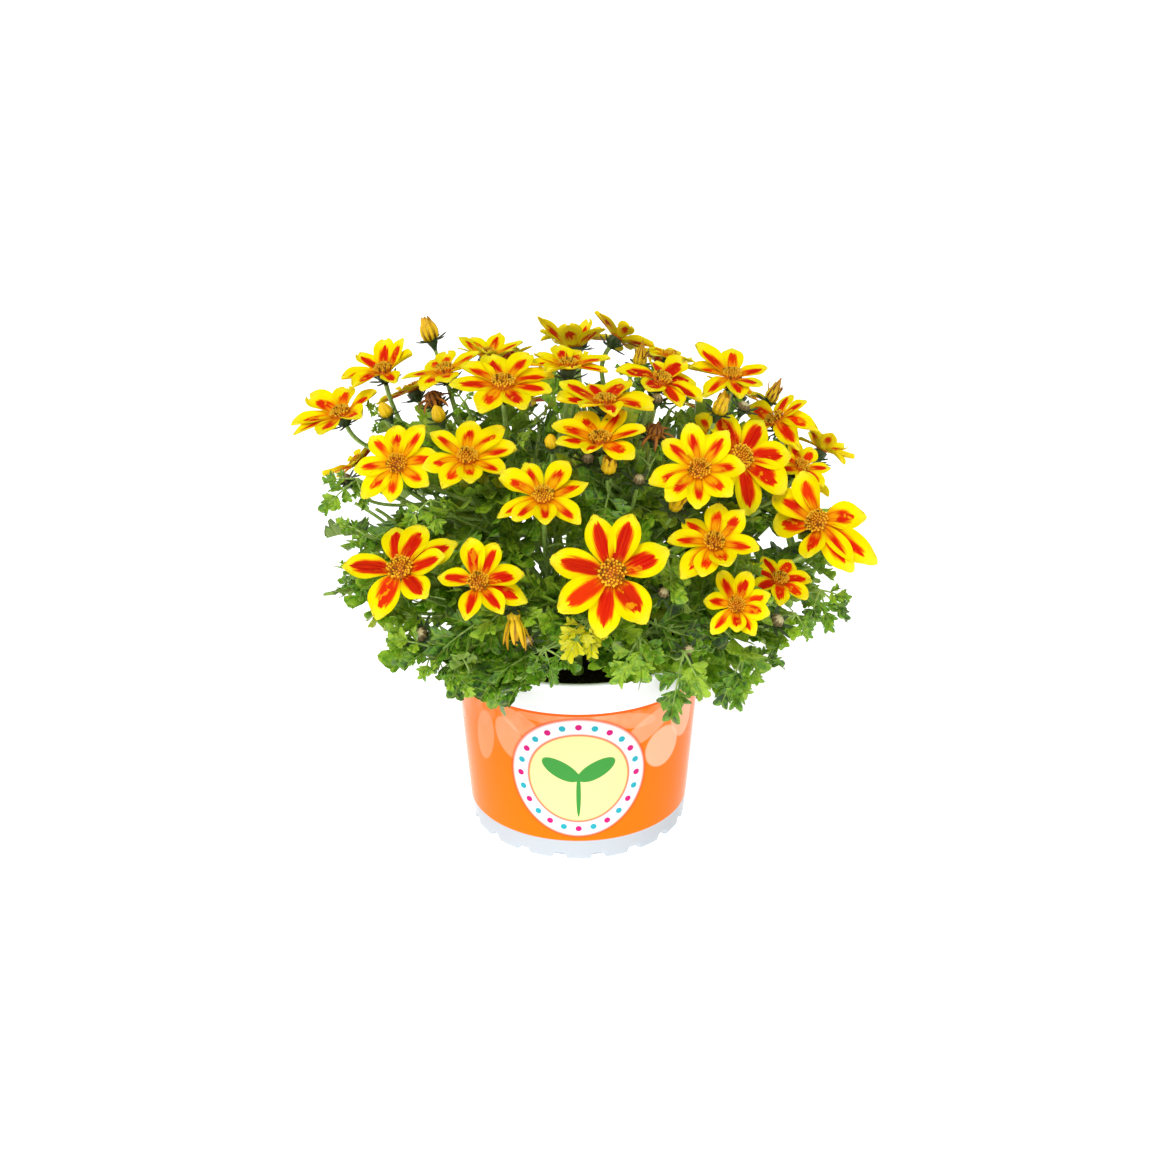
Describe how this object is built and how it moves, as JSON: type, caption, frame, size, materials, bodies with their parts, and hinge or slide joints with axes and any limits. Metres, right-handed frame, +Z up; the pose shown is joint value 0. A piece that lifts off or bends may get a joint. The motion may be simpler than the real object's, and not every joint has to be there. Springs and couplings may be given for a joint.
{
  "type": "potted bidens",
  "caption": "Bushy flowering bidens in a tapered plastic trade pot: striped yellow and red daisy blooms on thin stalks above cut green leaves that hang over the rim.",
  "frame": {"origin": "centre of the pot's flat base, on the surface it stands on", "axes": "+Z up along the pot's axis, -Y towards the side that the picture shows, +X to the right of it"},
  "size_m": [0.2533, 0.2442, 0.2429],
  "materials": {
    "pot": "satin",
    "peat": "matte",
    "foliage": "satin",
    "petals": "matte"
  },
  "bodies": {
    "root": {"pot": "pot", "peat": "peat", "leafy_stem_1": "foliage", "leafy_stem_2": "foliage", "leafy_stem_3": "foliage", "leafy_stem_4": "foliage", "leafy_stem_5": "foliage", "leafy_stem_6": "foliage", "leafy_stem_7": "foliage", "leafy_stem_8": "foliage", "leafy_stem_9": "foliage", "leafy_stem_10": "foliage", "leafy_stem_11": "foliage", "leafy_stem_12": "foliage", "leafy_stem_13": "foliage", "leafy_stem_14": "foliage", "bloom_1": "petals", "bloom_2": "petals", "bloom_3": "petals", "bloom_4": "petals", "bloom_5": "petals", "bloom_6": "petals", "bloom_7": "petals", "bloom_8": "petals", "bloom_9": "petals", "bloom_10": "petals", "bloom_11": "petals", "bloom_12": "petals", "bloom_13": "petals", "bloom_14": "petals", "bloom_15": "petals", "bloom_16": "petals", "bloom_17": "petals", "bloom_18": "petals", "bloom_19": "petals", "bloom_20": "petals", "bloom_21": "petals", "bloom_22": "petals", "bloom_23": "petals", "bloom_24": "petals", "bloom_25": "petals", "bloom_26": "petals", "bloom_27": "petals", "bloom_28": "petals", "bloom_29": "petals", "bloom_30": "petals", "bloom_31": "petals", "bloom_32": "petals", "bloom_33": "petals", "bloom_34": "petals", "bloom_35": "petals", "bloom_36": "petals", "bloom_37": "petals", "bloom_38": "petals", "bloom_39": "petals", "bloom_40": "petals"}
  },
  "joints": []
}
